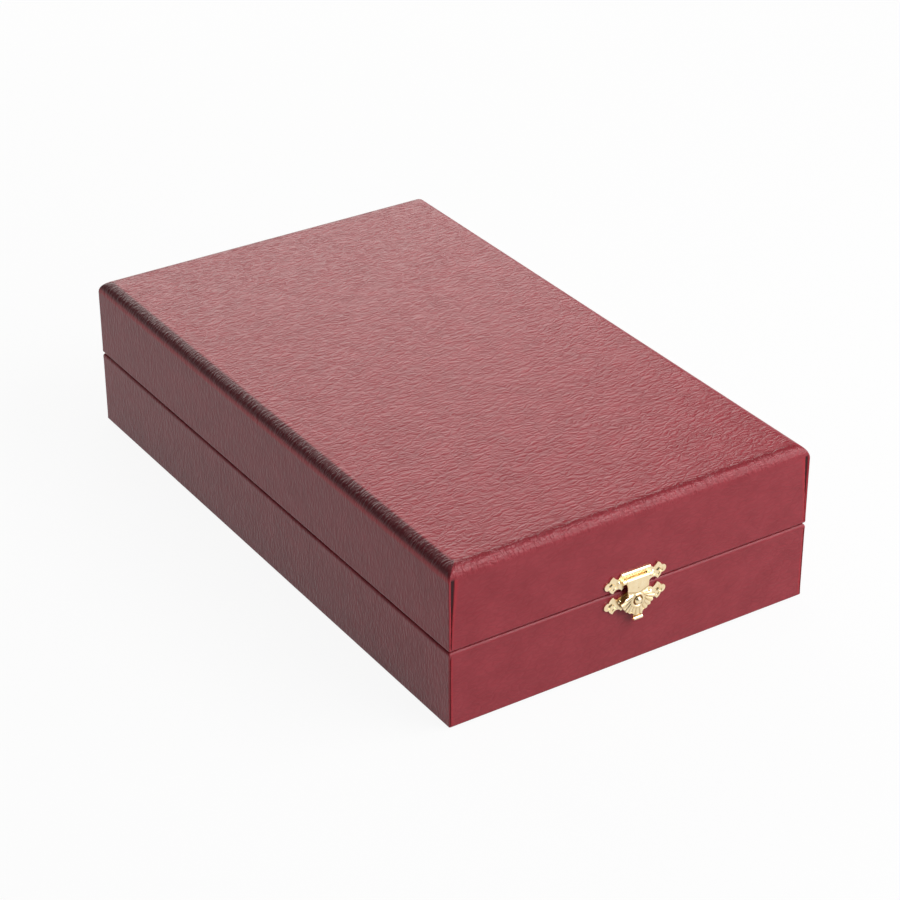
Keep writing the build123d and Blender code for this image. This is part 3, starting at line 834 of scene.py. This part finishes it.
def fan_reach(angle):
    """Length of the fan at an angle from straight down, with a small scallop for each flute."""
    flute = abs(math.sin(math.pi * (angle + fan_spread) / flute_width))
    return fan_length - fan_side_loss * (angle / fan_spread) ** 2 - fan_scallop * (1 - flute)


def fan_point(angle):
    """(x, height) of the fan's rim at an angle from straight down."""
    turn = math.radians(angle)
    return fan_reach(angle) * math.sin(turn), fan_apex - fan_reach(angle) * math.cos(turn)


fan_rim = [fan_point(angle) for angle in spaced(0, fan_spread, fan_step)]


def hasp_half_width(height):
    """Half the width of the hasp's flat part."""
    shoulder_x, shoulder = fan_rim[-1]
    if height > waist_height:
        narrowed = smooth(0.6, waist_height, height)
        return strip_half_width + (waist_half_width - strip_half_width) * narrowed
    if height > shoulder:
        share = (waist_height - height) / (waist_height - shoulder)
        return waist_half_width + (shoulder_x - waist_half_width) * share
    return max([tab_half_width] + [x for x, z in fan_rim if z <= height])


def hasp_press(x, height):
    """How far the pressed sheet stands out, and how much painted shade a spot gets in the folds between
    its forms.
    """
    angle = math.degrees(math.atan2(x, fan_apex - height)) if height < fan_apex else 90.0
    reach = math.hypot(x, height - fan_apex)
    vee = vee_point + vee_slope * abs(x)
    turned = angle * (1 + flute_curl * (1 - min(reach / fan_length, 1)))
    flute = abs(math.sin(math.pi * (turned + fan_spread) / flute_width))
    from_hole = math.hypot(x, height - hole_height)
    fade = smooth(0.1, 2.2, vee - height) * smooth(2.7, 3.5, from_hole)
    fade *= smooth(tab_height, flute_end, height)
    ring = bell(from_hole, ring_radius, 0.4)
    dot = bell(math.hypot(x, height - dot_height), 0.0, 0.28)
    strip = smooth(-0.15, 0.15, height - vee)
    relief = flute_relief * flute * fade + vee_relief * strip + ring_relief * ring + dot_relief * dot
    ring_foot = bell(from_hole, ring_foot_radius, 0.25) * smooth(0.0, 1.0, vee - height)
    vee_foot = bell(height - vee, -0.2, 0.3) * smooth(waist_half_width + 1, waist_half_width, abs(x))
    # Painted shade in the flutes' troughs, round the ring's foot, along the V's foot and in the dot.
    fold = max(0.75 * fade * (1 - flute) ** 1.6, 0.5 * ring_foot, 0.8 * vee_foot, 0.8 * dot)
    return relief, fold


def hasp_rows():
    """(standoff, height, outward part, upward part, half width, share of relief) down the path."""
    rows = []
    for turn in spaced(barrel_wrap, 0, path_turn):
        out, up = math.cos(math.radians(turn)), math.sin(math.radians(turn))
        standoff, height = pin_standoff + barrel_middle * out, pin_height + barrel_middle * up
        rows.append((standoff, height, out, up, barrel_half_width, 0.0))
    for height in spaced(pin_height - 0.3, tab_height, path_step):
        width = barrel_half_width if height > pin_height - 1.0 else hasp_half_width(height)
        share = smooth(pin_height - 0.6, 1.6, height)
        rows.append((sheet_standoff, height, 1.0, 0.0, width, share))
    for turn in spaced(0, tab_wrap, path_turn)[1:]:
        out, up = math.cos(math.radians(turn)), math.sin(math.radians(turn))
        standoff, height = sheet_standoff + tab_radius * (1 - out), tab_height - tab_radius * up
        rows.append((standoff, height, out, up, tab_half_width, 0.0))
    return rows


def cut_hole(piece):
    """Cuts the hole that goes over the stud."""
    cutter = lofted("cutter", [circle(hole_radius, standoff) for standoff in (0.5, 5.0)], looped=False)
    face_outwards(cutter.data)
    face_outwards(piece.data)
    cut = piece.modifiers.new("hole", "BOOLEAN")
    cut.operation = "DIFFERENCE"
    cut.object = cutter
    solid = piece.evaluated_get(bpy.context.evaluated_depsgraph_get())
    mesh = bpy.data.meshes.new_from_object(solid)
    piece.modifiers.clear()
    piece.data = mesh
    bpy.data.objects.remove(cutter)


def pressed_hasp():
    """One sheet, rolled round the pin, pressed and curled at its tab. It carries the painted shade of its
    folds.
    """
    columns = [place / half_columns for place in range(-half_columns, half_columns + 1)]
    rings, folds = [], []
    for standoff, height, out, up, width, share in hasp_rows():
        front, back = [], []
        for column in columns:
            x = column * width
            relief, fold = hasp_press(x, height) if share else (0.0, 0.0)
            relief *= share
            folds.append(fold * share)
            for side, ring in ((0.5, front), (-0.5, back)):
                away = relief + side * hasp_thickness
                ring.append(on_front(x, standoff + out * away, height + up * away))
        rings.append(front + back[::-1])
    piece = lofted("pressed_hasp", rings, looped=False)
    # The painted shade of the folds, kept as a colour attribute.
    painted_fold_shade = piece.data.color_attributes.new("painted_fold_shade", "FLOAT_COLOR", "POINT")
    count = len(columns)
    for row in range(len(rings)):
        for column in range(count):
            fold = folds[row * count + column]
            for place in (column, 2 * count - 1 - column):
                painted_fold_shade.data[row * 2 * count + place].color = (fold, fold, fold, 1.0)
    cut_hole(piece)
    finish_metal(piece, "hasp", "hasp")


def turned_stud():
    """A polished ball on a short neck."""
    turns = [math.radians(turn) for turn in spaced(42, 178, 8)]
    ball = [(stud_ball * math.sin(turn), stud_centre - stud_ball * math.cos(turn)) for turn in turns]
    rings = [circle(radius, standoff) for radius, standoff in stud_neck + ball]
    finish_metal(lofted("turned_stud", rings, looped=False), "base", "clasp_stud")


def window_web():
    """The plate's web behind the barrel, seen through the slit above it."""
    outline = []
    for x, z, start in ((1, 1, 0), (-1, 1, 90), (-1, -1, 180), (1, -1, 270)):
        middle = web_high - web_corner if z > 0 else web_low + web_corner
        for step in range(7):
            turn = math.radians(start + 15 * step)
            outline.append((x * (web_half_width - web_corner) + web_corner * math.cos(turn),
                            middle + web_corner * math.sin(turn)))
    height = web_high - web_low
    rings = [
        [on_front(x * (1 - inset / web_half_width), standoff,
                  z + inset * (web_low + web_high - 2 * z) / height) for x, z in outline]
        for standoff, inset in ((0.02, 0.0), (0.28, 0.0), (0.34, 0.06))
    ]
    finish_metal(lofted("window_web", rings, looped=False), "lid")


pressed_hasp()
turned_stud()
window_web()


# Finish of the nodes that stay as they are

for row in frame["record"]["subparts"]:
    mesh = nodes[row["node"]].data
    mesh.materials.clear()
    mesh.materials.append(slot_materials[row["material_slot"]])


# Light, floor and background

warm_white = (1.0, 0.975, 0.94)
white = (1.0, 1.0, 1.0)
ambient_level = 0.22
overhead_level = 0.06
horizon_end = 0.22
floor_grey = (0.62, 0.62, 0.62)
floor_glow = 0.92
floor_reach = 6.0


def area_light(name, place, aim, size, power, colour=white):
    data = bpy.data.lights.new(name, "AREA")
    data.shape = "RECTANGLE"
    data.size, data.size_y = size
    data.energy = power
    data.color = colour
    light = bpy.data.objects.new(name, data)
    light.location = place
    light.rotation_euler = (Vector(aim) - Vector(place)).to_track_quat("-Z", "Y").to_euler()
    bpy.context.scene.collection.objects.link(light)


area_light("back_sheet", (0.31, 1.15, 0.54), (0, 0, 0.05), (1.35, 0.52), 9.8, warm_white)
area_light("front_right_box", (0.68, -0.86, 0.74), (0, -0.05, 0.03), (1.3, 1.2), 17.0)
area_light("edge_strip", (0.66, -0.72, 1.02), (0, -0.1, 0.05), (1.2, 0.16), 8.0)
area_light("overhead_box", (0.1, -0.1, 1.45), (0, 0, 0), (0.9, 0.9), 4.0)


def studio_world():
    """White behind the object and in its reflections of the horizon, and darker overhead."""
    world = bpy.data.worlds.new("studio")
    bpy.context.scene.world = world
    g = Graph(world)
    direction = g.add("TexCoord").outputs["Generated"]
    rise = g.add("SeparateXYZ", {0: direction}).outputs["Z"]
    rays = g.add("LightPath").outputs
    mirrored = g.remap(rise, 0.0, horizon_end, 1.0, overhead_level)
    mirrored = g.math("MULTIPLY", rays["Is Glossy Ray"], mirrored)
    seen = g.math("MAXIMUM", rays["Is Camera Ray"], rays["Is Transmission Ray"])
    ambient = g.math("MULTIPLY", rays["Is Diffuse Ray"], ambient_level)
    strength = g.math("MAXIMUM", g.math("MAXIMUM", seen, mirrored), ambient)
    background = g.add("Background", {"Color": white, "Strength": strength})
    g.add("OutputWorld", {"Surface": background.outputs[0]})


def white_floor():
    """A white floor: plain white to the camera, with the object's soft shadow still on it."""
    g = Finish("floor", shader="MixShader")
    rays = g.add("LightPath").outputs
    seen = g.math("MAXIMUM", rays["Is Camera Ray"], rays["Is Glossy Ray"])
    seen = g.math("MAXIMUM", seen, rays["Is Transmission Ray"])
    diffuse = g.add("BsdfDiffuse", {"Color": floor_grey})
    glow = g.add("Emission")
    material = g.done({
        0: g.math("MULTIPLY", seen, floor_glow),
        1: diffuse.outputs[0],
        2: glow.outputs[0],
    })
    corners = [(-1, -1), (1, -1), (1, 1), (-1, 1)]
    mesh = bpy.data.meshes.new("floor")
    mesh.from_pydata([(x * floor_reach, y * floor_reach, 0) for x, y in corners], [], [(0, 1, 2, 3)])
    mesh.materials.append(material)
    floor = bpy.data.objects.new("floor", mesh)
    bpy.context.scene.collection.objects.link(floor)


studio_world()
white_floor()
bpy.context.scene.view_settings.view_transform = "Standard"
